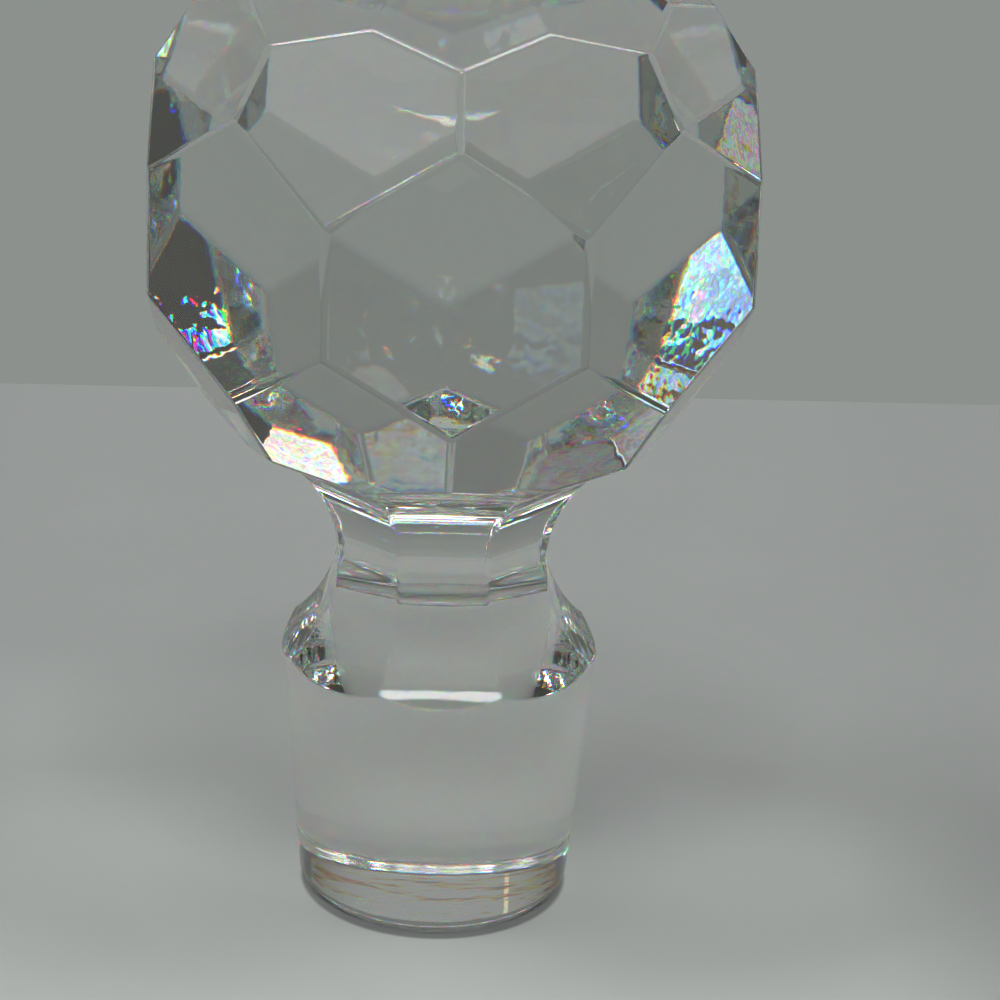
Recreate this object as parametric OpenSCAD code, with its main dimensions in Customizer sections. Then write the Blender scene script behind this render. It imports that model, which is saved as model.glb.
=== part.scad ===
// Cut-crystal decanter stopper, one solid piece of glass: a ball covered in flat cuts like a
// honeycomb, a fluted neck under it, and a ground taper plug that fits the bottle's mouth.
// Millimetres, +Z up. The origin is the centre of the flat base, and a belt facet faces -Y.

/* [Ball] */
// Width of the ball across two opposite belt facets
ball_w = 50; // [46:0.5:54]
// Height of the ball's centre above the base
ball_z = 63.5; // [62:0.5:68]
// Facets in each row round the ball, and flutes round the neck
facets = 8; // [6:1:10]
// Width of the ball across two opposite main facets, the rows above and below the belt
main_w = 51.7; // [50:0.1:53]
// How far the main facets lean up or down from upright, in degrees
main_tilt = 31.7; // [29:0.1:34]
// Width of the ball across the crown facets, twice their distance from its centre
crown_w = 49.5; // [48:0.1:50.5]
// How far the crown facets lean up from upright, in degrees
crown_tilt = 65; // [62:0.5:68]
// Height of the flat table above the ball's centre
table_h = 23.6; // [22.5:0.1:24.2]

/* [Neck] */
// Width across two opposite flutes where the neck is narrowest
neck_w = 18.1; // [15:0.1:19.5]
// Height of the narrowest place above the base
neck_z = 32.1; // [31:0.1:34]
// Radius of the wheel that cuts the flutes
wheel_r = 12.2; // [11:0.1:13]
// How far the flat run-out of each flute leans down under the ball, in degrees
runout_tilt = 65; // [62:0.5:68]

/* [Plug] */
// Diameter of the plug at its base
plug_base_d = 23.9; // [20:0.1:26]
// Diameter of the plug at its gauge height, just under the lowest reach of the flutes
plug_gauge_d = 27.8; // [25:0.1:30]
// Gauge height above the base
plug_gauge_h = 22.4; // [20:0.1:24]
// Width of the bevel round the flat base
base_bevel = 0.6; // [0.2:0.1:1.2]

/* [Hidden] */
$fn = 96;

// Angle between one facet and the next in its row, and the azimuth of the front one
pitch = 360 / facets;
front = -90;

// Blocks and cutters reach well past the ball on every side
clear = 2 * ball_w;

// How deep the wheel bites past the flat run-out, so that the two meet in a definite line
bite = 0.05;

// Growth of the plug's radius for each unit of height
plug_slope = (plug_gauge_d - plug_base_d) / 2 / plug_gauge_h;

// The wheel's axis, as its distance from the stopper's own axis
wheel_x = neck_w / 2 + wheel_r;

// Foot of the run-out, the place on it that is nearest to the wheel's axis
runout_x = wheel_x - (wheel_r - bite) * cos(runout_tilt);
runout_z = neck_z + (wheel_r - bite) * sin(runout_tilt);

// All that stays when one flat is cut: the flat lies `reach` from the ball's centre,
// and its outward direction is turned to `azimuth` and leans up by `tilt`.
module behind_flat(azimuth, tilt, reach) {
    rotate([0, -tilt, azimuth])
        translate([reach - 2 * clear, -clear, -clear])
            cube(2 * clear);
}

// One row of equal flats round the ball. `step` turns the row, as a share of the pitch.
module row_of_flats(step, tilt, reach) {
    intersection_for (i = [0 : facets - 1])
        behind_flat(front + (i + step) * pitch, tilt, reach);
}

// The ball: a belt of upright facets, a main row above and below it that fills the gaps,
// the crown row, and the table on top. The lower main row runs on down inside the neck,
// so the glass under the ball is left to the flutes.
module ball() {
    translate([0, 0, ball_z])
        intersection() {
            row_of_flats(0, 0, ball_w / 2);
            row_of_flats(0.5, main_tilt, main_w / 2);
            row_of_flats(0.5, -main_tilt, main_w / 2);
            row_of_flats(0, crown_tilt, crown_w / 2);
            behind_flat(front, 90, table_h);
        }
}

// The ground plug, turned in one piece: flat base, bevel, and a plain taper that runs on
// up to the waist of the neck, where the flutes take it away.
module plug() {
    base_r = plug_base_d / 2;
    rotate_extrude()
        polygon([
            [0, 0],
            [base_r - base_bevel, 0],
            [base_r + plug_slope * base_bevel, base_bevel],
            [base_r + plug_slope * neck_z, neck_z],
            [0, neck_z],
        ]);
}

// What one pass of the wheel takes away, in section: the wheel's own round, and all that
// lies below the straight line on which the wheel runs out under the ball.
module wheel_section() {
    translate([wheel_x, neck_z])
        circle(r = wheel_r);
    polygon([
        [wheel_x, neck_z],
        [runout_x, runout_z],
        [runout_x + clear * sin(runout_tilt), runout_z + clear * cos(runout_tilt)],
        [runout_x + clear * sin(runout_tilt), neck_z],
    ]);
}

// One flute: straight across the neck, hollow along it
module flute(azimuth) {
    rotate([90, 0, azimuth])
        translate([0, 0, -clear])
            linear_extrude(height = 2 * clear)
                wheel_section();
}

// The whole stopper: the blank of plug and ball, with the neck fluted all round
module stopper() {
    color([0.80, 0.84, 0.82, 0.45])
        difference() {
            union() {
                plug();
                ball();
            }
            for (i = [0 : facets - 1])
                flute(front + i * pitch);
        }
}

stopper();
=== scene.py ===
"""Looks of a cut-crystal decanter stopper: its rounded glass, the table under it, the light and the camera.

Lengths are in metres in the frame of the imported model: +Z up, the origin at the centre of the flat base, and
the front belt facet of the ball facing -Y. The glass is worked out as a skeleton that lies a little inside
the real surface: flat cuts on the ball, hollow flutes on the neck and a plain taper on the plug. A small ball
that rolls over the skeleton leaves the real surface, with the soft arrises that acid polishing gives.
"""

import logging
import math
from dataclasses import dataclass, field
from enum import Enum

import bpy
import numpy as np
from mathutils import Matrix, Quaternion, Vector

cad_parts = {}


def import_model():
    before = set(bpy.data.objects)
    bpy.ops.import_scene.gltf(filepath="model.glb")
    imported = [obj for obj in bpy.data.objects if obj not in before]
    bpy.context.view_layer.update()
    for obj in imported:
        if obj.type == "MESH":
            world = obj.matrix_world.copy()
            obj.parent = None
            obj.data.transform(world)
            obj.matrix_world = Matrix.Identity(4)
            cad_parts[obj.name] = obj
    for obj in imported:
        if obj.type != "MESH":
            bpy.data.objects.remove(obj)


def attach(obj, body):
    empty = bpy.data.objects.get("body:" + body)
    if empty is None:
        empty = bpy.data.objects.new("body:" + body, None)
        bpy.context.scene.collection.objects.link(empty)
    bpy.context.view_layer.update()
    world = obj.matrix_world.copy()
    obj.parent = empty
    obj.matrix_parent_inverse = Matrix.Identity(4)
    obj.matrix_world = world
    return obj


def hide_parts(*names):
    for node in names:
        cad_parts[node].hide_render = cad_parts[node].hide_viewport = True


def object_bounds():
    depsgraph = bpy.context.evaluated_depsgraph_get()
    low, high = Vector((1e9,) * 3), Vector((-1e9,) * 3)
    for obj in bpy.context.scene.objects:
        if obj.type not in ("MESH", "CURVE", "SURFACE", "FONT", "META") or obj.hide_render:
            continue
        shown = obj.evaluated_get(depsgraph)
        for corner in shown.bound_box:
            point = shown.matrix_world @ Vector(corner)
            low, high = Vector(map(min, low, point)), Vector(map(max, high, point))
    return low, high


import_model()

LOG = logging.getLogger("stopper")

# One millimetre, in the frame's metres
MM = 0.001

# How often light may bounce, which a row of many facets needs
BOUNCES = 24

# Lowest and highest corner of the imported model, taken before anything is added to it
CAD_BOX = [[float(value) for value in corner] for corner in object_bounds()]


def turned(vectors: np.ndarray, azimuth: np.ndarray) -> np.ndarray:
    """Turns vectors about the stopper's axis.

    A vector (x, y, z) turned by a becomes (x cos a - y sin a, x sin a + y cos a, z).

    Args:
        vectors: vectors as the last axis of an array.
        azimuth: angles in radians, of a shape that broadcasts against the other axes.

    Returns:
        The turned vectors.
    """
    x, y, z = np.moveaxis(vectors, -1, 0)
    c, s = np.cos(azimuth), np.sin(azimuth)
    return np.stack(np.broadcast_arrays(x * c - y * s, x * s + y * c, z + 0 * c), axis=-1)


def unit(vectors: np.ndarray) -> np.ndarray:
    """Gives vectors the length 1."""
    return vectors / np.linalg.norm(vectors, axis=-1, keepdims=True)


def before(values: np.ndarray) -> np.ndarray:
    """Gives each facet round the stopper what the facet before it had."""
    return np.roll(values, 1, axis=0)


def after(values: np.ndarray) -> np.ndarray:
    """Gives each facet round the stopper what the facet after it had."""
    return np.roll(values, -1, axis=0)


@dataclass
class Surface:
    """Patches of surface, gathered one after another and then welded into one closed mesh.

    Attributes:
        points: the points of each patch.
        normals: the outward unit normals at those points.
        faces: the faces of all patches, as indices into all their points.
        count: how many points there are so far.
    """

    points: list[np.ndarray] = field(default_factory=list)
    normals: list[np.ndarray] = field(default_factory=list)
    faces: list[list[int]] = field(default_factory=list)
    count: int = 0

    def add(self, points: np.ndarray, normals: np.ndarray, faces: np.ndarray) -> None:
        """Adds a patch, with each face turned so that it looks outwards.

        A face looks outwards where the cross product of two of its diagonals agrees with its points' normals.

        Args:
            points: the points, one per row.
            normals: the outward unit normal at each point.
            faces: the faces, one per row, as indices into the points.
        """
        across = points[faces[:, 1]] - points[faces[:, -1]]
        along = points[faces[:, len(faces[0]) // 2]] - points[faces[:, 0]]
        facing = np.einsum("ij,ij->i", np.cross(along, across), normals[faces].sum(axis=1))
        outward = np.where(facing[:, None] > 0, faces[:, ::-1], faces)
        self.points.append(points)
        self.normals.append(normals)
        self.faces.extend((outward + self.count).tolist())
        self.count += len(points)

    def sheets(self, points: np.ndarray, normals: np.ndarray) -> None:
        """Adds patches that are grids of quads.

        Args:
            points: points of shape (patches, rows, columns, 3).
            normals: outward normals of the same shape.
        """
        number = np.arange(points[..., 0].size).reshape(points.shape[:3])
        corners = [number[:, :-1, :-1], number[:, 1:, :-1], number[:, 1:, 1:], number[:, :-1, 1:]]
        faces = np.stack(corners, axis=-1).reshape(-1, 4)
        self.add(points.reshape(-1, 3), normals.reshape(-1, 3), faces)

    def flats(self, points: np.ndarray, normals: np.ndarray) -> None:
        """Adds plane polygons.

        Args:
            points: points of shape (polygons, corners, 3).
            normals: one normal per polygon.
        """
        faces = np.arange(points.shape[0] * points.shape[1]).reshape(points.shape[:2])
        every = np.broadcast_to(normals[:, None], points.shape)
        self.add(points.reshape(-1, 3), every.reshape(-1, 3), faces)

    def welded(self, name: str, snap: float = 1e-8) -> bpy.types.Object:
        """Joins the points that coincide and makes the mesh, with the gathered normals as its shading.

        Args:
            name: the name of the new object.
            snap: grid on which points count as one.

        Returns:
            The new object, linked to the scene.
        """
        points, normals = np.concatenate(self.points), np.concatenate(self.normals)
        _, first, joined = np.unique(np.round(points / snap), axis=0, return_index=True, return_inverse=True)
        joined = joined.reshape(-1)
        faces = []
        for face in self.faces:
            ring = [int(joined[i]) for i in face]
            ring = [a for a, b in zip(ring, ring[1:] + ring[:1]) if a != b]
            if len(ring) > 2:
                faces.append(ring)
        mesh = bpy.data.meshes.new(name)
        mesh.from_pydata(points[first].tolist(), [], faces)
        mesh.shade_smooth()
        mesh.normals_split_custom_set_from_vertices(normals[first].tolist())
        piece = bpy.data.objects.new(name, mesh)
        bpy.context.collection.objects.link(piece)
        return piece


@dataclass
class RollingBall:
    """The small ball that rounds the arrises: it rolls over the skeleton, and its outside is the glass.

    Attributes:
        surface: where the patches go.
        steps: how many faces there are across a rounded arris.
    """

    surface: Surface
    steps: int = 4

    def arris(self, line: np.ndarray, left: np.ndarray, right: np.ndarray,
              radius: np.ndarray | float) -> None:
        """Rounds arrises: along the line the ball touches glass in every direction between two normals.

        The point at share s across is p + r n, where n is the unit vector of (1 - s) left + s right.

        Args:
            line: skeleton points, of shape (arrises, points along, 3).
            left: normals of the surface on one side, of a shape that broadcasts to line's.
            right: normals of the surface on the other side.
            radius: the ball's radius, one number or one for each point along.
        """
        share = np.linspace(0, 1, self.steps + 1)[:, None]
        normals = unit((1 - share) * (left + 0 * line)[:, :, None] + share * (right + 0 * line)[:, :, None])
        reach = np.broadcast_to(radius, line.shape[1:2])[None, :, None, None]
        self.surface.sheets(line[:, :, None] + reach * normals, normals)

    def corner(self, spots: np.ndarray, first: np.ndarray, second: np.ndarray, third: np.ndarray,
               radius: float) -> None:
        """Rounds corners where three surfaces meet, by a triangular patch of the ball.

        The point with weights a, b and c, whose sum is 1, is p + r n, where n is the unit vector of
        a first + b second + c third.

        Args:
            spots: skeleton points, one per corner.
            first: normals of the first surface, one per corner.
            second: normals of the second surface.
            third: normals of the third surface.
            radius: the ball's radius.
        """
        steps = self.steps
        a, b = np.divmod(np.arange((steps + 1) ** 2), steps + 1)
        inside = a + b <= steps
        number = np.full((steps + 2, steps + 2), -1)
        number[a[inside], b[inside]] = np.arange(inside.sum())
        weight = np.stack([a, b, steps - a - b], axis=-1)[inside] / steps
        up = np.stack([number[a, b], number[a + 1, b], number[a, b + 1]], axis=-1)[inside]
        down = np.stack([number[a + 1, b], number[a + 1, b + 1], number[a, b + 1]], axis=-1)[inside]
        faces = np.concatenate([up, down])
        faces = faces[(faces >= 0).all(axis=1)]
        normals = unit(np.einsum("wj,jck->cwk", weight, np.stack([first, second, third])))
        points = spots[:, None] + radius * normals
        every = (faces[None] + len(weight) * np.arange(len(spots))[:, None, None]).reshape(-1, 3)
        self.surface.add(points.reshape(-1, 3), normals.reshape(-1, 3), every)


@dataclass
class Row:
    """One row of equal flats round the ball.

    Attributes:
        count: how many flats the row has.
        step: how far the row is turned, as a share of the pitch from flat to flat.
        tilt: how far each flat leans up from upright, in degrees.
        reach: distance of each flat from the ball's centre.
        normals: the outward unit normals, which for azimuth a and tilt t are
            (cos t sin a, -cos t cos a, sin t).
    """

    count: int
    step: float
    tilt: float
    reach: float
    normals: np.ndarray = field(init=False)

    def __post_init__(self) -> None:
        """Works out the normals."""
        azimuth = 2 * np.pi * (np.arange(self.count) + self.step) / self.count
        tilt = math.radians(self.tilt)
        self.normals = turned(np.array([0.0, -math.cos(tilt), math.sin(tilt)]), azimuth)


@dataclass
class Stopper:
    """The stopper's glass, from the table on top of the ball to the flat base.

    Attributes:
        facets: flats in each row, and flutes round the neck.
        ball_z: height of the ball's centre.
        belt_w: width across two opposite belt facets.
        main_w: width across two opposite main facets.
        main_tilt: lean of the main facets, in degrees.
        crown_w: width across the crown facets.
        crown_tilt: lean of the crown facets, in degrees.
        neck_w: width across two opposite flutes at the waist.
        neck_z: height of the waist.
        wheel_r: radius of the wheel that cut the flutes.
        runout_tilt: lean of the flats on which the flutes run out under the ball, in degrees.
        base_d: diameter of the plug at its base.
        gauge_d: diameter of the plug at its gauge height.
        gauge_h: gauge height.
        ball_soft: radius of the rounding on the ball's arrises.
        neck_soft: radius of the rounding on the flutes' arrises, where they leave the ball.
        rim_soft: radius of the rounding where the flutes cut into the plug.
        base_soft: radius of the rounding of the plug's lower edge.
        columns: faces across a flute.
        surface: where the patches go.
        roll: the ball that rounds the arrises.
        half: half the angle from one facet to the next.
        turns: azimuths of the flutes, from the front one on.
        wheel_x: how far the wheel's axis is from the stopper's.
    """

    facets: int = 8
    ball_z: float = 63.5 * MM
    belt_w: float = 50.0 * MM
    main_w: float = 51.7 * MM
    main_tilt: float = 31.7
    crown_w: float = 49.5 * MM
    crown_tilt: float = 65.0
    neck_w: float = 18.1 * MM
    neck_z: float = 32.1 * MM
    wheel_r: float = 12.2 * MM
    runout_tilt: float = 65.0
    base_d: float = 23.9 * MM
    gauge_d: float = 27.8 * MM
    gauge_h: float = 22.4 * MM
    ball_soft: float = 1.35 * MM
    neck_soft: float = 1.0 * MM
    rim_soft: float = 0.6 * MM
    base_soft: float = 1.3 * MM
    columns: int = 12
    surface: Surface = field(init=False, default_factory=Surface)
    roll: RollingBall = field(init=False)
    half: float = field(init=False)
    turns: np.ndarray = field(init=False)
    wheel_x: float = field(init=False)

    def __post_init__(self) -> None:
        """Works out what follows from the sizes."""
        self.roll = RollingBall(self.surface)
        self.half = math.pi / self.facets
        self.turns = 2 * self.half * np.arange(self.facets)
        self.wheel_x = self.neck_w / 2 + self.wheel_r

    def build(self, name: str) -> bpy.types.Object:
        """Makes the glass as one closed mesh.

        Args:
            name: the name of the new object.

        Returns:
            The new object.
        """
        self.shape_ball()
        rim, taper = self.shape_neck()
        self.shape_plug(rim, taper)
        return self.surface.welded(name)

    def meet(self, *rows: tuple[Row, int]) -> np.ndarray:
        """Finds the skeleton points where three rows of flats meet.

        Each point solves three plane equations n . p = reach - soft, measured from the ball's centre.

        Args:
            rows: three rows, each with how many flats on from its own number it is taken.

        Returns:
            One point for each facet round the ball.
        """
        normals = np.stack([np.roll(row.normals, -on, axis=0) for row, on in rows], axis=1)
        reach = np.array([row.reach for row, _ in rows]) - self.ball_soft
        spots = np.linalg.solve(normals, np.broadcast_to(reach, (self.facets, 3))[..., None])[..., 0]
        return spots + np.array([0, 0, self.ball_z])

    def shape_ball(self) -> None:
        """Makes the flats, arrises and corners of the ball, down to the feet of the run-outs."""
        belt = Row(self.facets, 0.0, 0.0, self.belt_w / 2)
        top, shoulder = self.shape_half(belt, 1)
        bottom, lower = self.shape_half(belt, -1)
        self.edge(shoulder, lower, belt.normals, after(belt.normals))
        sides = [before(shoulder), top, shoulder, lower, bottom, before(lower)]
        self.flat(sides, belt.normals)

    def shape_half(self, belt: Row, side: int) -> tuple[np.ndarray, np.ndarray]:
        """Makes the upper or the lower half of the ball, without the belt.

        Corners are named as on the upper half: top and shoulder of a belt facet, peak and gable of the cap
        facet above it, and foot of the arris from there on. The lower half's mirror images meet in the same
        order.

        Args:
            belt: the row of belt facets.
            side: 1 for the upper half and -1 for the lower one.

        Returns:
            The skeleton points at the top and at the shoulder of each belt facet.
        """
        soft, roll, cap = self.ball_soft, self.roll, self.cap(side)
        main = Row(self.facets, 0.5, side * self.main_tilt, self.main_w / 2)
        table = Row(self.facets, 0.0, 90.0, CAD_BOX[1][2] - self.ball_z)
        top = self.meet((belt, 0), (main, -1), (main, 0))
        shoulder = self.meet((belt, 0), (belt, 1), (main, 0))
        peak = self.meet((main, -1), (main, 0), (cap, 0))
        gable = self.meet((main, 0), (cap, 0), (cap, 1))
        if side > 0:
            foot = self.meet((cap, 0), (cap, 1), (table, 0))
            hem, end = [foot, before(foot)], soft
        else:
            hem, end = self.runout_feet(), self.neck_soft
            foot = hem[0]
        here, beside = belt.normals, after(belt.normals)
        lean, left = main.normals, before(main.normals)
        over, next_over = cap.normals, after(cap.normals)
        self.edge(top, shoulder, here, lean)
        self.edge(shoulder, after(top), beside, lean)
        self.edge(top, peak, left, lean)
        self.edge(peak, gable, over, lean)
        self.edge(gable, after(peak), next_over, lean)
        self.edge(gable, foot, over, next_over, end)
        roll.corner(top, here, left, lean, soft)
        roll.corner(shoulder, here, beside, lean, soft)
        roll.corner(peak, left, lean, over, soft)
        roll.corner(gable, lean, over, next_over, soft)
        self.flat([top, shoulder, after(top), after(peak), gable, peak], lean)
        self.flat([before(gable), peak, gable, *hem], over, 3, end)
        if side > 0:
            self.edge(before(foot), foot, over, table.normals)
            roll.corner(foot, over, next_over, table.normals, soft)
            self.surface.flats((foot + soft * table.normals)[None], table.normals[:1])
        return top, shoulder

    def cap(self, side: int) -> Row:
        """Gives the row of flats beyond the main one: the crown above, and the flutes' run-outs below.

        A run-out goes on in a straight line where the wheel's cut leans as much as it does. Its distance from
        the ball's centre is x cos t + (b - z) sin t - r, with (x, z) the wheel's axis, r its radius, b the
        height of the ball's centre and t the lean.

        Args:
            side: 1 for the crown and -1 for the run-outs.

        Returns:
            The row.
        """
        if side > 0:
            return Row(self.facets, 0.0, self.crown_tilt, self.crown_w / 2)
        away = self.wheel_x * math.cos(math.radians(self.runout_tilt))
        down = (self.ball_z - self.neck_z) * math.sin(math.radians(self.runout_tilt))
        return Row(self.facets, 0.0, -self.runout_tilt, away + down - self.wheel_r)

    def edge(self, start: np.ndarray, end: np.ndarray, left: np.ndarray, right: np.ndarray,
             end_soft: float | None = None) -> None:
        """Rounds straight arrises of the ball.

        Args:
            start: skeleton points where the arrises start, one per facet.
            end: skeleton points where they end.
            left: normals on one side.
            right: normals on the other side.
            end_soft: radius of the rounding at the end, where it isn't the ball's.
        """
        radius = np.array([self.ball_soft, self.ball_soft if end_soft is None else end_soft])
        self.roll.arris(np.stack([start, end], axis=1), left[:, None], right[:, None], radius)

    def flat(self, corners: list[np.ndarray], normals: np.ndarray, usual: int | None = None,
             end_soft: float = 0.0) -> None:
        """Adds one flat per facet, lifted from its skeleton corners by the radius of the rounding there.

        Args:
            corners: skeleton points in order round the flat, one array per corner.
            normals: one normal per flat.
            usual: how many corners have the ball's rounding, or None for all of them.
            end_soft: the radius of the rounding at the corners after those.
        """
        soft = np.full(len(corners), self.ball_soft)
        soft[len(corners) if usual is None else usual:] = end_soft
        points = np.stack(corners, axis=1) + soft[None, :, None] * normals[:, None]
        self.surface.flats(points, normals)

    def wheel_line(self, sweep: np.ndarray | float,
                   soft: np.ndarray | float) -> tuple[np.ndarray, np.ndarray]:
        """Gives the flutes' section at angles round the wheel's axis.

        At sweep s the section is at (x - (r + soft) cos s, z + (r + soft) sin s), with (x, z) the wheel's
        axis and r its radius. Soft is how far inside the glass the line runs.

        Args:
            sweep: angles round the wheel, 0 at the waist and growing upwards.
            soft: distance from the glass's surface to the skeleton.

        Returns:
            The distances from the stopper's axis and the heights.
        """
        reach = self.wheel_r + soft
        return self.wheel_x - reach * np.cos(sweep), self.neck_z + reach * np.sin(sweep)

    def bearings(self) -> np.ndarray:
        """Gives the angles from the middle of a flute at which its columns of faces meet, left to right."""
        return self.half * np.linspace(-1, 1, self.columns + 1)

    def runout_feet(self) -> list[np.ndarray]:
        """Gives the skeleton points across each flute where its arc meets its run-out, right to left."""
        out, height = self.wheel_line(math.radians(self.runout_tilt), self.neck_soft)
        return [turned(np.array([out * math.tan(bearing), -out, height]), self.turns)
                for bearing in self.bearings()[::-1]]

    def taper_radius(self, height: np.ndarray, soft: float) -> np.ndarray:
        """Gives the plug's radius at a height, less what the rounding takes.

        Args:
            height: height above the base.
            soft: distance from the glass's surface to the skeleton.

        Returns:
            The radius of the skeleton's cone.
        """
        slope = (self.gauge_d - self.base_d) / 2 / self.gauge_h
        return self.base_d / 2 + slope * height - soft * math.hypot(1, slope)

    def rim_sweep(self, bearing: np.ndarray) -> np.ndarray:
        """Finds where the flutes run out on the plug's taper, by halving the interval 50 times.

        At bearing b from the middle of its flute, the skeleton's flute is x / cos b from the stopper's axis,
        and the rim is where this equals the radius of the skeleton's cone.

        Args:
            bearing: angles from the middle of the flute.

        Returns:
            The sweep round the wheel at which each column of the flute ends.
        """
        low, high = np.full_like(bearing, -math.pi / 2), np.zeros_like(bearing)
        for _ in range(50):
            middle = (low + high) / 2
            out, height = self.wheel_line(middle, self.rim_soft)
            beyond = out / np.cos(bearing) > self.taper_radius(height, self.rim_soft)
            low, high = np.where(beyond, middle, low), np.where(beyond, high, middle)
        return (low + high) / 2

    def shape_neck(self, rows: int = 56) -> tuple[np.ndarray, np.ndarray]:
        """Makes the flutes, the arrises between them and the scalloped rim.

        A flute is a grid of the bearing across it and the sweep along it: at bearing b and sweep s the
        skeleton is (x tan b, -x, z), with x and z from wheel_line, and the glass is that point moved out
        along (0, -cos s, -sin s).

        Args:
            rows: faces along a flute.

        Returns:
            The points along the lower side of the rim, and the taper's normals there.
        """
        bearing = self.bearings()
        share = np.linspace(0, 1, rows + 1)[:, None]
        start = math.radians(self.runout_tilt)
        sweep = start + (self.rim_sweep(bearing) - start) * share
        soft = self.neck_soft + (self.rim_soft - self.neck_soft) * share
        out, height = self.wheel_line(sweep, soft)
        skeleton = np.stack([out * np.tan(bearing), -out, height], axis=-1)
        outward = np.stack([0 * sweep, -np.cos(sweep), -np.sin(sweep)], axis=-1)
        turn = self.turns[:, None, None]
        flutes, normals = turned(skeleton, turn), turned(outward, turn)
        self.surface.sheets(flutes + soft[..., None] * normals, normals)
        left, right = normals[:, :, -1], after(normals[:, :, 0])
        self.roll.arris(flutes[:, :, -1], left, right, soft[:, 0])
        rim, upper = flutes[:, -1], normals[:, -1]
        lower = self.taper_normal(self.turns[:, None] + bearing)
        self.roll.arris(rim, upper, lower, self.rim_soft)
        self.roll.corner(rim[:, -1], left[:, -1], right[:, -1], lower[:, -1], self.rim_soft)
        return rim + self.rim_soft * lower, lower

    def taper_normal(self, azimuth: np.ndarray) -> np.ndarray:
        """Gives the plug's outward normals at angles round it."""
        slope = (self.gauge_d - self.base_d) / 2 / self.gauge_h
        return turned(unit(np.array([0, -1, -slope])), azimuth)

    def shape_plug(self, upper: np.ndarray, normals: np.ndarray, rows: int = 8, steps: int = 8) -> None:
        """Makes the plug's taper below the rim, its rounded lower edge and the flat base.

        The taper is straight from each point of the rim down to the edge.

        Args:
            upper: the points along the lower side of the rim.
            normals: the taper's normals there.
            rows: faces along the taper.
            steps: faces across the rounded edge.
        """
        soft = self.base_soft
        inner = self.taper_radius(np.array(soft), soft)
        heading = turned(np.array([0.0, -1.0, 0.0]), np.arctan2(upper[..., 0], -upper[..., 1]))
        skeleton = inner * heading + np.array([0, 0, soft])
        lower = skeleton + soft * normals
        share = np.linspace(0, 1, rows + 1)[:, None, None]
        taper = (1 - share) * upper[:, None] + share * lower[:, None]
        self.surface.sheets(taper, np.broadcast_to(normals[:, None], taper.shape))
        flat = np.array([0.0, 0.0, -1.0])
        roll = RollingBall(self.surface, steps)
        roll.arris(skeleton, normals, flat + 0 * normals, soft)
        ring = (skeleton + soft * flat)[:, :-1].reshape(1, -1, 3)
        self.surface.flats(ring, flat[None])


@dataclass(frozen=True)
class Wire:
    """A shader socket that takes part in Python arithmetic: each operator adds one Math node.

    Attributes:
        tree: the node tree that the socket is in.
        socket: the output socket that carries the value.
    """

    tree: bpy.types.NodeTree
    socket: bpy.types.NodeSocket

    def math(self, operation: str, *values: "Wire | float", held: bool = False) -> "Wire":
        """Adds a Math node.

        Args:
            operation: the node's operation.
            values: its values, in order.
            held: whether its result is held between 0 and 1.

        Returns:
            The node's result.
        """
        node = self.tree.nodes.new("ShaderNodeMath")
        node.operation, node.use_clamp = operation, held
        for slot, value in zip(node.inputs, values):
            if isinstance(value, Wire):
                self.tree.links.new(value.socket, slot)
            else:
                slot.default_value = value
        return Wire(self.tree, node.outputs[0])

    def __add__(self, other: "Wire | float") -> "Wire":
        """Gives self + other."""
        return self.math("ADD", self, other)

    def __sub__(self, other: "Wire | float") -> "Wire":
        """Gives self - other."""
        return self.math("SUBTRACT", self, other)

    def __rsub__(self, other: float) -> "Wire":
        """Gives other - self."""
        return self.math("SUBTRACT", other, self)

    def __mul__(self, other: "Wire | float") -> "Wire":
        """Gives self * other."""
        return self.math("MULTIPLY", self, other)

    def __rmul__(self, other: float) -> "Wire":
        """Gives other * self."""
        return self.math("MULTIPLY", other, self)

    def __abs__(self) -> "Wire":
        """Gives the size of self without its sign."""
        return self.math("ABSOLUTE", self)

    def over(self, other: "Wire") -> "Wire":
        """Gives the larger of self and other."""
        return self.math("MAXIMUM", self, other)

    def within(self, middle: float, size: float, blur: float = 0.0) -> "Wire":
        """Gives 1 where self lies within a band of values, and falls to 0 over a blur on both sides of it.

        The fall is the straight line (size / 2 + blur - distance from the middle) / blur.

        Args:
            middle: middle of the band.
            size: how wide the band is.
            blur: how far the fall to 0 reaches on each side, or 0 for a hard edge.

        Returns:
            The result, held between 0 and 1.
        """
        if blur == 0:
            return self.math("COMPARE", self, middle, size / 2)
        distance = abs(self - middle)
        return self.math("MULTIPLY_ADD", distance, -1 / blur, 1 + size / 2 / blur, held=True)

    def ramp(self, start: float, end: float) -> "Wire":
        """Goes smoothly from 0 at start to 1 at end, or from 1 to 0 where end is the lower.

        Args:
            start: value at which the ramp is 0.
            end: value at which it is 1.

        Returns:
            The ramp, held at 0 and 1 outside the two values.
        """
        node = self.tree.nodes.new("ShaderNodeMapRange")
        node.interpolation_type = "SMOOTHSTEP"
        self.tree.links.new(self.socket, node.inputs["Value"])
        low, high = (0.0, 1.0) if end > start else (1.0, 0.0)
        limits = {"From Min": min(start, end), "From Max": max(start, end), "To Min": low, "To Max": high}
        for name, value in limits.items():
            node.inputs[name].default_value = value
        return Wire(self.tree, node.outputs["Result"])


# What a node's socket takes: a link or a value
Input = Wire | bpy.types.NodeSocket | float | tuple


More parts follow.
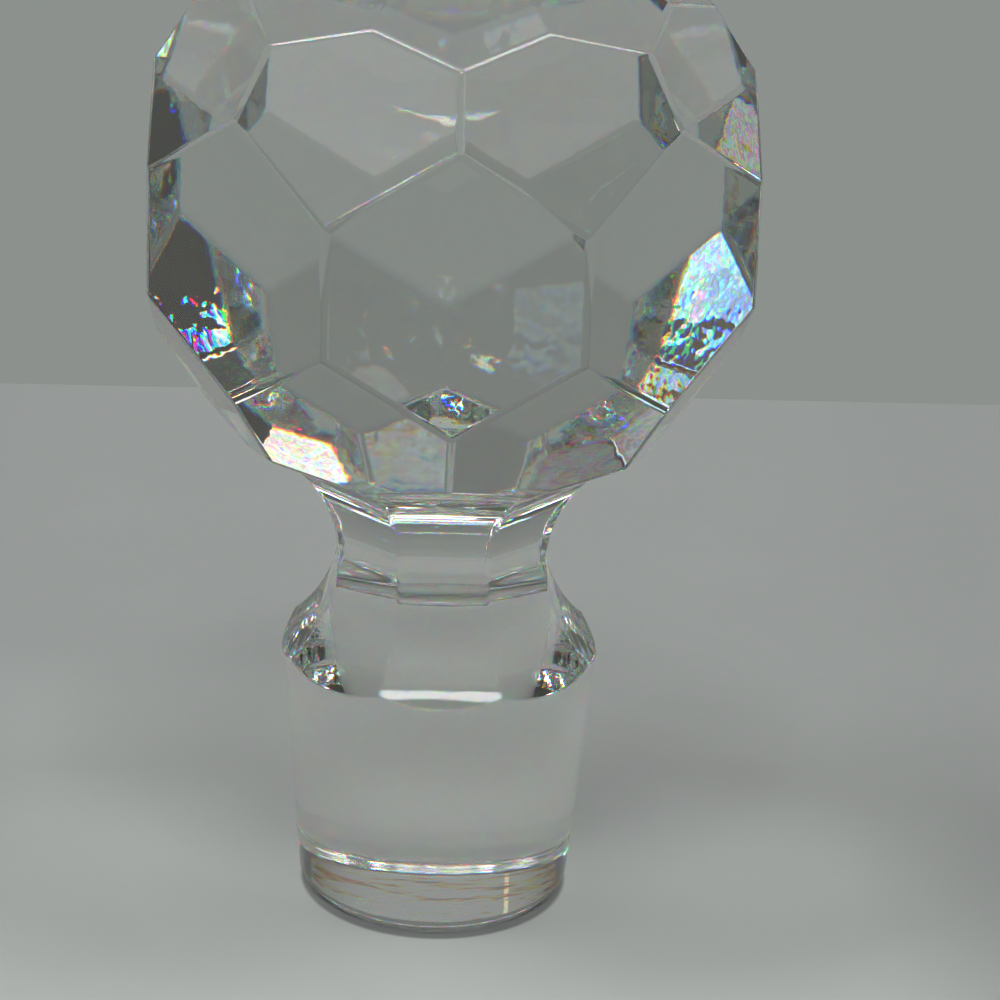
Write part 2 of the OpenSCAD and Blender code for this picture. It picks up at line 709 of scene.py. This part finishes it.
@dataclass(frozen=True)
class Sheet:
    """The node tree of a material or of the world, to which nodes are added one by one.

    Attributes:
        tree: the node tree.
    """

    tree: bpy.types.NodeTree

    @classmethod
    def empty(cls, owner: bpy.types.Material | bpy.types.World) -> "Sheet":
        """Switches an owner's nodes on and clears them."""
        owner.use_nodes = True
        owner.node_tree.nodes.clear()
        return cls(owner.node_tree)

    def node(self, kind: str, settings: dict[str, object] | None = None,
             inputs: dict[str | int, Input] | None = None) -> bpy.types.Node:
        """Adds a node.

        Args:
            kind: the node's type, without its leading ShaderNode.
            settings: the node's own settings, made first.
            inputs: the value or the source of each of its sockets, by name or by number.

        Returns:
            The new node.
        """
        node = self.tree.nodes.new("ShaderNode" + kind)
        for name, value in (settings or {}).items():
            setattr(node, name, value)
        for name, value in (inputs or {}).items():
            if isinstance(value, Wire):
                self.tree.links.new(value.socket, node.inputs[name])
            elif isinstance(value, bpy.types.NodeSocket):
                self.tree.links.new(value, node.inputs[name])
            else:
                node.inputs[name].default_value = value
        return node

    def wire(self, kind: str, output: str | int = 0, settings: dict[str, object] | None = None,
             inputs: dict[str | int, Input] | None = None) -> Wire:
        """Adds a node and gives one of its outputs, to count with.

        Args:
            kind: the node's type, without its leading ShaderNode.
            output: the output, by name or by number.
            settings: the node's own settings.
            inputs: its values and sources.

        Returns:
            The output as a wire.
        """
        return Wire(self.tree, self.node(kind, settings, inputs).outputs[output])

    def mixed(self, share: Wire, first: Input, second: Input) -> bpy.types.NodeSocket:
        """Mixes two colours, the second by its share."""
        return self.node("Mix", {"data_type": "RGBA"}, {0: share, 6: first, 7: second}).outputs[2]


def colour(level: tuple[float, float, float]) -> tuple[float, float, float, float]:
    """Gives a colour its fourth, opaque number."""
    return (*level, 1.0)


@dataclass(frozen=True)
class CutCrystal:
    """Clear lead crystal that was cut and then polished in acid.

    Acid leaves the flats a little wavy, so that what shows through them has ragged edges. The index differs
    from red to blue, which fringes those edges with colour. Light is split where it comes into the glass from
    the eye's side, and stays as it is on its way through.

    Attributes:
        index: refractive index for green light.
        spread: how much higher the index is for blue, and lower for red.
        wave_size: distance from wave to wave.
        wave_height: height of the waves.
        stain: colour that the glass keeps over a long way.
        density: how much of the other colours it takes away, per metre.
    """

    index: float = 1.545
    spread: float = 0.009
    wave_size: float = 3.0 * MM
    wave_height: float = 0.015 * MM
    stain: tuple[float, float, float] = (0.0, 0.13, 0.0)
    density: float = 2.4

    def material(self) -> bpy.types.Material:
        """Makes the material."""
        made = bpy.data.materials.new("cut_crystal")
        sheet = Sheet.empty(made)
        place = sheet.node("TexCoord").outputs["Object"]
        waves = sheet.wire("TexNoise", 0, None, {"Vector": place, "Scale": 1 / self.wave_size, "Detail": 2.0})
        bump = sheet.node("Bump", None, {"Height": waves, "Distance": self.wave_height, "Strength": 1.0})
        normal = bump.outputs["Normal"]
        red = self.glass(sheet, normal, (3.0, 0.0, 0.0), self.index - self.spread)
        green = self.glass(sheet, normal, (0.0, 3.0, 0.0), self.index)
        blue = self.glass(sheet, normal, (0.0, 0.0, 3.0), self.index + self.spread)
        clear = self.glass(sheet, normal, (1.0, 1.0, 1.0), self.index)
        pair = sheet.node("MixShader", None, {"Fac": 1 / 2, 1: green, 2: blue})
        split = sheet.node("MixShader", None, {"Fac": 2 / 3, 1: red, 2: pair.outputs[0]})
        seen = sheet.wire("LightPath", "Is Camera Ray")
        whole = sheet.node("MixShader", None, {"Fac": 1 - seen, 1: split.outputs[0], 2: clear})
        inside = sheet.node("VolumeAbsorption", None, {"Color": colour(self.stain), "Density": self.density})
        sheet.node("OutputMaterial", None, {"Surface": whole.outputs[0], "Volume": inside.outputs[0]})
        return made

    @staticmethod
    def glass(sheet: Sheet, normal: bpy.types.NodeSocket, tint: tuple[float, float, float],
              index: float) -> bpy.types.NodeSocket:
        """Gives a smooth glass shader.

        Args:
            sheet: where the node goes.
            normal: the wavy surface's normal.
            tint: the light that it lets through, 3 in one colour where it is one of three equal shares.
            index: its refractive index.

        Returns:
            The shader.
        """
        values = {"Color": colour(tint), "Roughness": 0.0, "IOR": index, "Normal": normal}
        return sheet.node("BsdfGlass", None, values).outputs[0]


@dataclass(frozen=True)
class TableTop:
    """Pale, matt, fine-grained surface that the stopper stands on.

    It is painted brighter towards its front, from behind the stopper on, as painted light, and darker towards
    both sides, as painted shade, and it is faintly smudged. A thin dark ring at the stopper's base, set a
    little forward, stands in for the shadow where the glass meets the table.

    Attributes:
        level: its colour behind the stopper.
        painted_front_light: how much brighter the painted light makes it in front, as a factor.
        darker: how much darker the painted shade makes it far to the sides, as a factor.
        grained: how much darker its grains are, as a factor.
        start: how far behind the stopper's axis the painted light begins.
        full: how far behind the axis the painted light is at its brightest, or in front of it where negative.
        skew: how much further back both are for each metre to the left.
        middle: half the width of its middle, beyond which the painted shade begins.
        side: how far from the axis the painted shade is at its darkest.
        grain: distance from grain to grain.
        smudge: distance from smudge to smudge.
        smudged: how much of the painted light's brighter colour the smudges add or take away.
        roughness: how matt it is.
        gloss: how strongly it shines, where 0.5 is usual.
        ring: radius of the middle of the dark ring.
        forward: how far in front of the stopper's axis its centre is.
        ring_width: how wide the ring is at its full darkness.
        ring_blur: how far it fades on each side.
        ringed: how much darker it is, as a factor.
    """

    level: tuple[float, float, float] = (0.384, 0.403, 0.393)
    painted_front_light: float = 1.43
    darker: float = 0.94
    grained: float = 0.95
    start: float = 46 * MM
    full: float = -1 * MM
    skew: float = 0.14
    middle: float = 36 * MM
    side: float = 58 * MM
    grain: float = 1.2 * MM
    smudge: float = 22 * MM
    smudged: float = 0.3
    roughness: float = 0.6
    gloss: float = 0.3
    ring: float = 11.2 * MM
    forward: float = 1.1 * MM
    ring_width: float = 0.9 * MM
    ring_blur: float = 0.35 * MM
    ringed: float = 0.6

    def material(self) -> bpy.types.Material:
        """Makes the material."""
        made = bpy.data.materials.new("table_top")
        sheet = Sheet.empty(made)
        place = sheet.node("TexCoord").outputs["Object"]
        parts = sheet.node("SeparateXYZ", None, {0: place})
        x, y = (Wire(sheet.tree, parts.outputs[axis]) for axis in "XY")
        grains = sheet.wire("TexNoise", 0, None, {"Vector": place, "Scale": 1 / self.grain, "Detail": 2.0})
        smudges = sheet.wire("TexNoise", 0, None, {"Vector": place, "Scale": 1 / self.smudge, "Detail": 3.0})
        # Painted light: the colour gets brighter towards the front, standing in for how light falls on the
        # table
        painted_light_share = (y + self.skew * x).ramp(self.start, self.full) + self.smudged * (smudges - 0.5)
        base = sheet.mixed(grains, self.toned(self.grained), self.toned(1.0))
        front = sheet.mixed(painted_light_share, base, self.toned(self.painted_front_light))
        # Painted shade: the colour gets darker far to both sides of the stopper
        painted_light_and_shade = sheet.mixed(abs(x).ramp(self.middle, self.side), front, self.toned(self.darker))
        offset = sheet.node("VectorMath", {"operation": "ADD"}, {0: place, 1: (0.0, self.forward, 0.0)})
        away = sheet.wire("VectorMath", "Value", {"operation": "LENGTH"}, {0: offset.outputs[0]})
        ringed = away.within(self.ring, self.ring_width, self.ring_blur)
        whole = sheet.mixed(ringed, painted_light_and_shade, self.toned(self.ringed))
        values = {"Base Color": whole, "Roughness": self.roughness, "Specular IOR Level": self.gloss}
        sheet.node("OutputMaterial", None, {"Surface": sheet.node("BsdfPrincipled", None, values).outputs[0]})
        return made

    def toned(self, factor: float) -> tuple[float, float, float, float]:
        """Gives its colour, lighter or darker by a factor."""
        return colour(tuple(factor * part for part in self.level))


@dataclass
class Table:
    """The table, whose back edge shows behind the stopper.

    Attributes:
        depth: how far behind the stopper's axis the back edge is.
        front: how far the table reaches towards the front.
        side: how far it reaches to each side.
        gap: the film of air under the stopper's base, which makes a mirror of it.
        finish: its finish.
    """

    depth: float = 119 * MM
    front: float = 400 * MM
    side: float = 300 * MM
    gap: float = 0.02 * MM
    finish: TableTop = TableTop()

    def build(self) -> bpy.types.Object:
        """Makes the table top as one level face."""
        corners = [(-self.side, -self.front, -self.gap), (self.side, -self.front, -self.gap),
                   (self.side, self.depth, -self.gap), (-self.side, self.depth, -self.gap)]
        mesh = bpy.data.meshes.new("table_top")
        mesh.from_pydata(corners, [], [(0, 1, 2, 3)])
        mesh.materials.append(self.finish.material())
        top = bpy.data.objects.new("table_top", mesh)
        bpy.context.collection.objects.link(top)
        return top


class Cover(Enum):
    """What a soft box is covered with: the share of its light that the folds of the cover take away."""

    PLAIN = 0.0
    SILK = 0.6


class Tint(Enum):
    """Colour of a soft box's light."""

    WHITE = (1.0, 1.0, 1.0)
    DAYLIGHT = (0.66, 0.98, 1.12)
    LAMPLIGHT = (1.0, 0.76, 0.36)


@dataclass(frozen=True)
class SoftBox:
    """One soft light, far away, bounded by two azimuths and two elevations.

    Attributes:
        azimuth: direction of its middle, in degrees from the front, growing towards the right.
        elevation: how high its middle stands, in degrees.
        width: its width, in degrees of azimuth.
        height: its height, in degrees.
        level: its brightness, where 1 is white.
        blur: width of its soft edge, in degrees, or 0 for a hard one.
        cover: what it is covered with.
        tint: its colour.
        paired: whether its mirror image stands at the opposite azimuth too.
    """

    azimuth: float
    elevation: float
    width: float
    height: float
    level: float
    blur: float = 0.0
    cover: Cover = Cover.PLAIN
    tint: Tint = Tint.WHITE
    paired: bool = False

    def inside(self, azimuth: Wire, elevation: Wire) -> Wire:
        """Gives 1 in the directions that the box covers.

        Args:
            azimuth: azimuth of the direction looked in, in degrees.
            elevation: its elevation, in degrees.

        Returns:
            1 inside the box and 0 outside it, with its soft edge between.
        """
        bearing = abs(azimuth) if self.paired else azimuth
        slant = 1 / math.cos(math.radians(self.elevation))
        across = bearing.within(self.azimuth, self.width, self.blur * slant)
        return across * elevation.within(self.elevation, self.height, self.blur)


@dataclass
class Studio:
    """The room: pale walls behind the stopper and low down all round, darkness in front, and soft boxes.

    Attributes:
        wall: colour of the wall behind the table.
        ceiling: colour of the wall high up.
        front: colour of the room in front of the stopper.
        climb: the z of a direction at which the wall starts to turn into the ceiling, and has turned.
        behind: the y of a direction at which the dark front starts to turn into the wall, and has turned.
        low: the z of a direction at which it does so downwards.
        folds: folds of the silk covers, as how many there are to the radian.
        crease: the value of the noise at which the silk starts to get dark, and is fully dark.
        boxes: the soft boxes.
    """

    wall: tuple[float, float, float] = (0.262, 0.283, 0.267)
    ceiling: tuple[float, float, float] = (0.178, 0.19, 0.18)
    front: tuple[float, float, float] = (0.055, 0.053, 0.048)
    climb: tuple[float, float] = (-0.5, 0.35)
    behind: tuple[float, float] = (0.45, 0.85)
    low: tuple[float, float] = (0.4, 0.15)
    folds: float = 90.0
    crease: tuple[float, float] = (0.62, 0.38)
    boxes: tuple[SoftBox, ...] = (
        # Broad lights high on both sides and straight above, and a strip high in front
        SoftBox(-83, 65.5, 32, 20, 10.0, 2),
        SoftBox(83, 65.5, 32, 20, 8.0, 2),
        SoftBox(0, 85, 360, 12, 1.6, 2),
        SoftBox(2, 65, 42, 7, 10.0, 1),
        # Lamps at the front left
        SoftBox(-46.5, 38, 4.5, 3, 16.0),
        SoftBox(-25, 19, 4, 3, 2.2),
        SoftBox(-52.5, 41, 7, 5, 0.8, 1),
        # A pale strip and a lamp behind
        SoftBox(180, 30.6, 128, 4.6, 0.12, paired=True),
        SoftBox(-153.5, 29, 2, 1, 0.4, 0, Cover.PLAIN, Tint.LAMPLIGHT),
        # Silk over a window and lamps at the front left
        SoftBox(-41.1, 31.2, 5.4, 4.8, 1.7, 0, Cover.SILK, Tint.DAYLIGHT),
        SoftBox(-41.6, 28.6, 1.2, 0.8, 1.0, 0, Cover.SILK, Tint.LAMPLIGHT),
        SoftBox(-45.6, 30.2, 3.6, 4.0, 0.5, 0, Cover.SILK),
        SoftBox(-56.5, 33.4, 6, 4, 0.4, 0, Cover.SILK),
        SoftBox(-38.5, 47.5, 4.4, 5.6, 1.4, 0, Cover.SILK, Tint.DAYLIGHT),
        SoftBox(-36, 54, 13, 3.4, 0.25, 0, Cover.SILK),
        SoftBox(-28, 62.2, 7, 1.2, 1.5, 0, Cover.SILK),
        SoftBox(-24.3, 38.0, 3.6, 2.8, 2.7, 0, Cover.SILK),
        # Silk over lamps at the front right
        SoftBox(34, 50.7, 23, 12.0, 1.75, 0, Cover.SILK),
        SoftBox(44.3, 26.4, 2.8, 3.6, 1.8, 0, Cover.SILK),
        SoftBox(38.5, 27.2, 7, 2.0, 1.4, 0, Cover.SILK),
    )

    def build(self) -> bpy.types.World:
        """Makes the world and gives it to the scene."""
        world = bpy.data.worlds.new("studio")
        bpy.context.scene.world = world
        sheet = Sheet.empty(world)
        toward = sheet.node("TexCoord").outputs["Generated"]
        parts = sheet.node("SeparateXYZ", None, {0: toward})
        x, y, z = (Wire(sheet.tree, parts.outputs[axis]) for axis in "XYZ")
        azimuth = x.math("ARCTAN2", x, 0 - y) * math.degrees(1)
        elevation = z.math("ARCSINE", z) * math.degrees(1)
        back = sheet.mixed(z.ramp(*self.climb), colour(self.wall), colour(self.ceiling))
        pale = y.ramp(*self.behind).over(z.ramp(*self.low))
        room = sheet.mixed(pale, colour(self.front), back)
        bare, silk = (self.light(sheet, azimuth, elevation, cover) for cover in Cover)
        lit = sheet.node("VectorMath", {"operation": "ADD"}, {0: room, 1: bare})
        folds = sheet.wire("TexNoise", 0, None, {"Vector": toward, "Scale": self.folds, "Detail": 2.0})
        dimmed = 1 - folds.ramp(*self.crease) * Cover.SILK.value
        creased = sheet.node("VectorMath", {"operation": "SCALE"}, {0: silk, "Scale": dimmed})
        shaded = sheet.node("MixShader", None, {"Fac": self.covered(azimuth, elevation),
                                                2: self.glow(sheet, creased.outputs[0])})
        light = sheet.node("AddShader", None, {0: self.glow(sheet, lit.outputs[0]), 1: shaded.outputs[0]})
        seen = sheet.wire("LightPath", "Is Camera Ray")
        shown = sheet.node("MixShader", None, {"Fac": seen, 1: light.outputs[0],
                                               2: self.glow(sheet, colour(self.wall))})
        sheet.node("OutputWorld", None, {"Surface": shown.outputs[0]})
        return world

    @staticmethod
    def glow(sheet: Sheet, level: Input) -> bpy.types.NodeSocket:
        """Gives the shader of a room of one colour, or of a colour that changes with direction."""
        return sheet.node("Background", None, {"Color": level, "Strength": 1.0}).outputs[0]

    def covered(self, azimuth: Wire, elevation: Wire) -> Wire:
        """Gives 1 in the part of the room that holds the boxes under silk, so that the rest is quick to do.

        Args:
            azimuth: azimuth of the direction looked in, in degrees.
            elevation: its elevation, in degrees.

        Returns:
            1 inside that part and 0 outside it.
        """
        boxes = [box for box in self.boxes if box.cover is Cover.SILK]
        widest = max(abs(box.azimuth) + box.width / 2 for box in boxes)
        lowest = min(box.elevation - box.height / 2 for box in boxes)
        highest = max(box.elevation + box.height / 2 for box in boxes)
        across = abs(azimuth).within(0.0, 2 * widest)
        return across * elevation.within((lowest + highest) / 2, highest - lowest)

    def light(self, sheet: Sheet, azimuth: Wire, elevation: Wire, cover: Cover) -> Input:
        """Adds up the light of the soft boxes of one cover.

        Args:
            sheet: where the nodes go.
            azimuth: azimuth of the direction looked in, in degrees.
            elevation: its elevation, in degrees.
            cover: the cover of the boxes.

        Returns:
            The colour in that direction.
        """
        total: Input = (0.0, 0.0, 0.0)
        for tint in Tint:
            level: Wire | float = 0.0
            boxes = [box for box in self.boxes if (box.tint, box.cover) == (tint, cover)]
            for box in boxes:
                inside = box.inside(azimuth, elevation)
                level = inside.math("MULTIPLY_ADD", inside, box.level, level)
            if boxes:
                tinted = sheet.node("VectorMath", {"operation": "SCALE"}, {0: tint.value, "Scale": level})
                both = {0: total, 1: tinted.outputs[0]}
                total = sheet.node("VectorMath", {"operation": "ADD"}, both).outputs[0]
        return total


@dataclass
class Camera:
    """The camera, placed as the viewer stands and with the stopper filling its frame.

    Attributes:
        place: where it stands.
        target: a point on the ray through the middle of its picture.
        roll: how far it is turned about that ray, in degrees, which turns the picture clockwise.
        lens: its focal length, in millimetres.
        sensor: width of its sensor, in millimetres.
        near: distance from which it sees.
        far: distance up to which it sees.
    """

    place: Vector = field(default_factory=lambda: Vector((-6.32, -299.03, 162.0)) * MM)
    target: Vector = field(default_factory=lambda: Vector((4.91, -0.10, 36.3)) * MM)
    roll: float = 2.04
    lens: float = 134.6
    sensor: float = 36.0
    near: float = 10 * MM
    far: float = 10.0

    def build(self) -> bpy.types.Object:
        """Makes the camera and gives it to the scene."""
        data = bpy.data.cameras.new("camera")
        data.lens, data.sensor_width = self.lens, self.sensor
        data.clip_start, data.clip_end = self.near, self.far
        camera = bpy.data.objects.new("camera", data)
        bpy.context.collection.objects.link(camera)
        facing = (self.target - self.place).to_track_quat("-Z", "Y")
        turn = Quaternion((0, 0, 1), math.radians(self.roll))
        camera.rotation_mode = "QUATERNION"
        camera.rotation_quaternion = facing @ turn
        camera.location = self.place
        bpy.context.scene.camera = camera
        return camera


def main() -> None:
    """Builds the stopper and its studio."""
    logging.basicConfig(level=logging.INFO, format="%(levelname)s: %(message)s")
    scene = bpy.context.scene
    scene.view_settings.view_transform = "Standard"
    scene.cycles.max_bounces = BOUNCES
    scene.cycles.glossy_bounces = BOUNCES
    scene.cycles.transmission_bounces = BOUNCES

    glass = Stopper().build("cut_glass")
    glass.data.materials.append(CutCrystal().material())
    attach(glass, "root")
    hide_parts("stopper")
    LOG.info("%s: %d faces", glass.name, len(glass.data.polygons))

    top = Table().build()
    LOG.info("%s: %d face", top.name, len(top.data.polygons))
    studio = Studio()
    LOG.info("%s: %d soft boxes", studio.build().name, len(studio.boxes))
    camera = Camera().build()
    LOG.info("%s: lens %.1f mm", camera.name, camera.data.lens)

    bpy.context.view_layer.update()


if __name__ == "__main__":
    main()
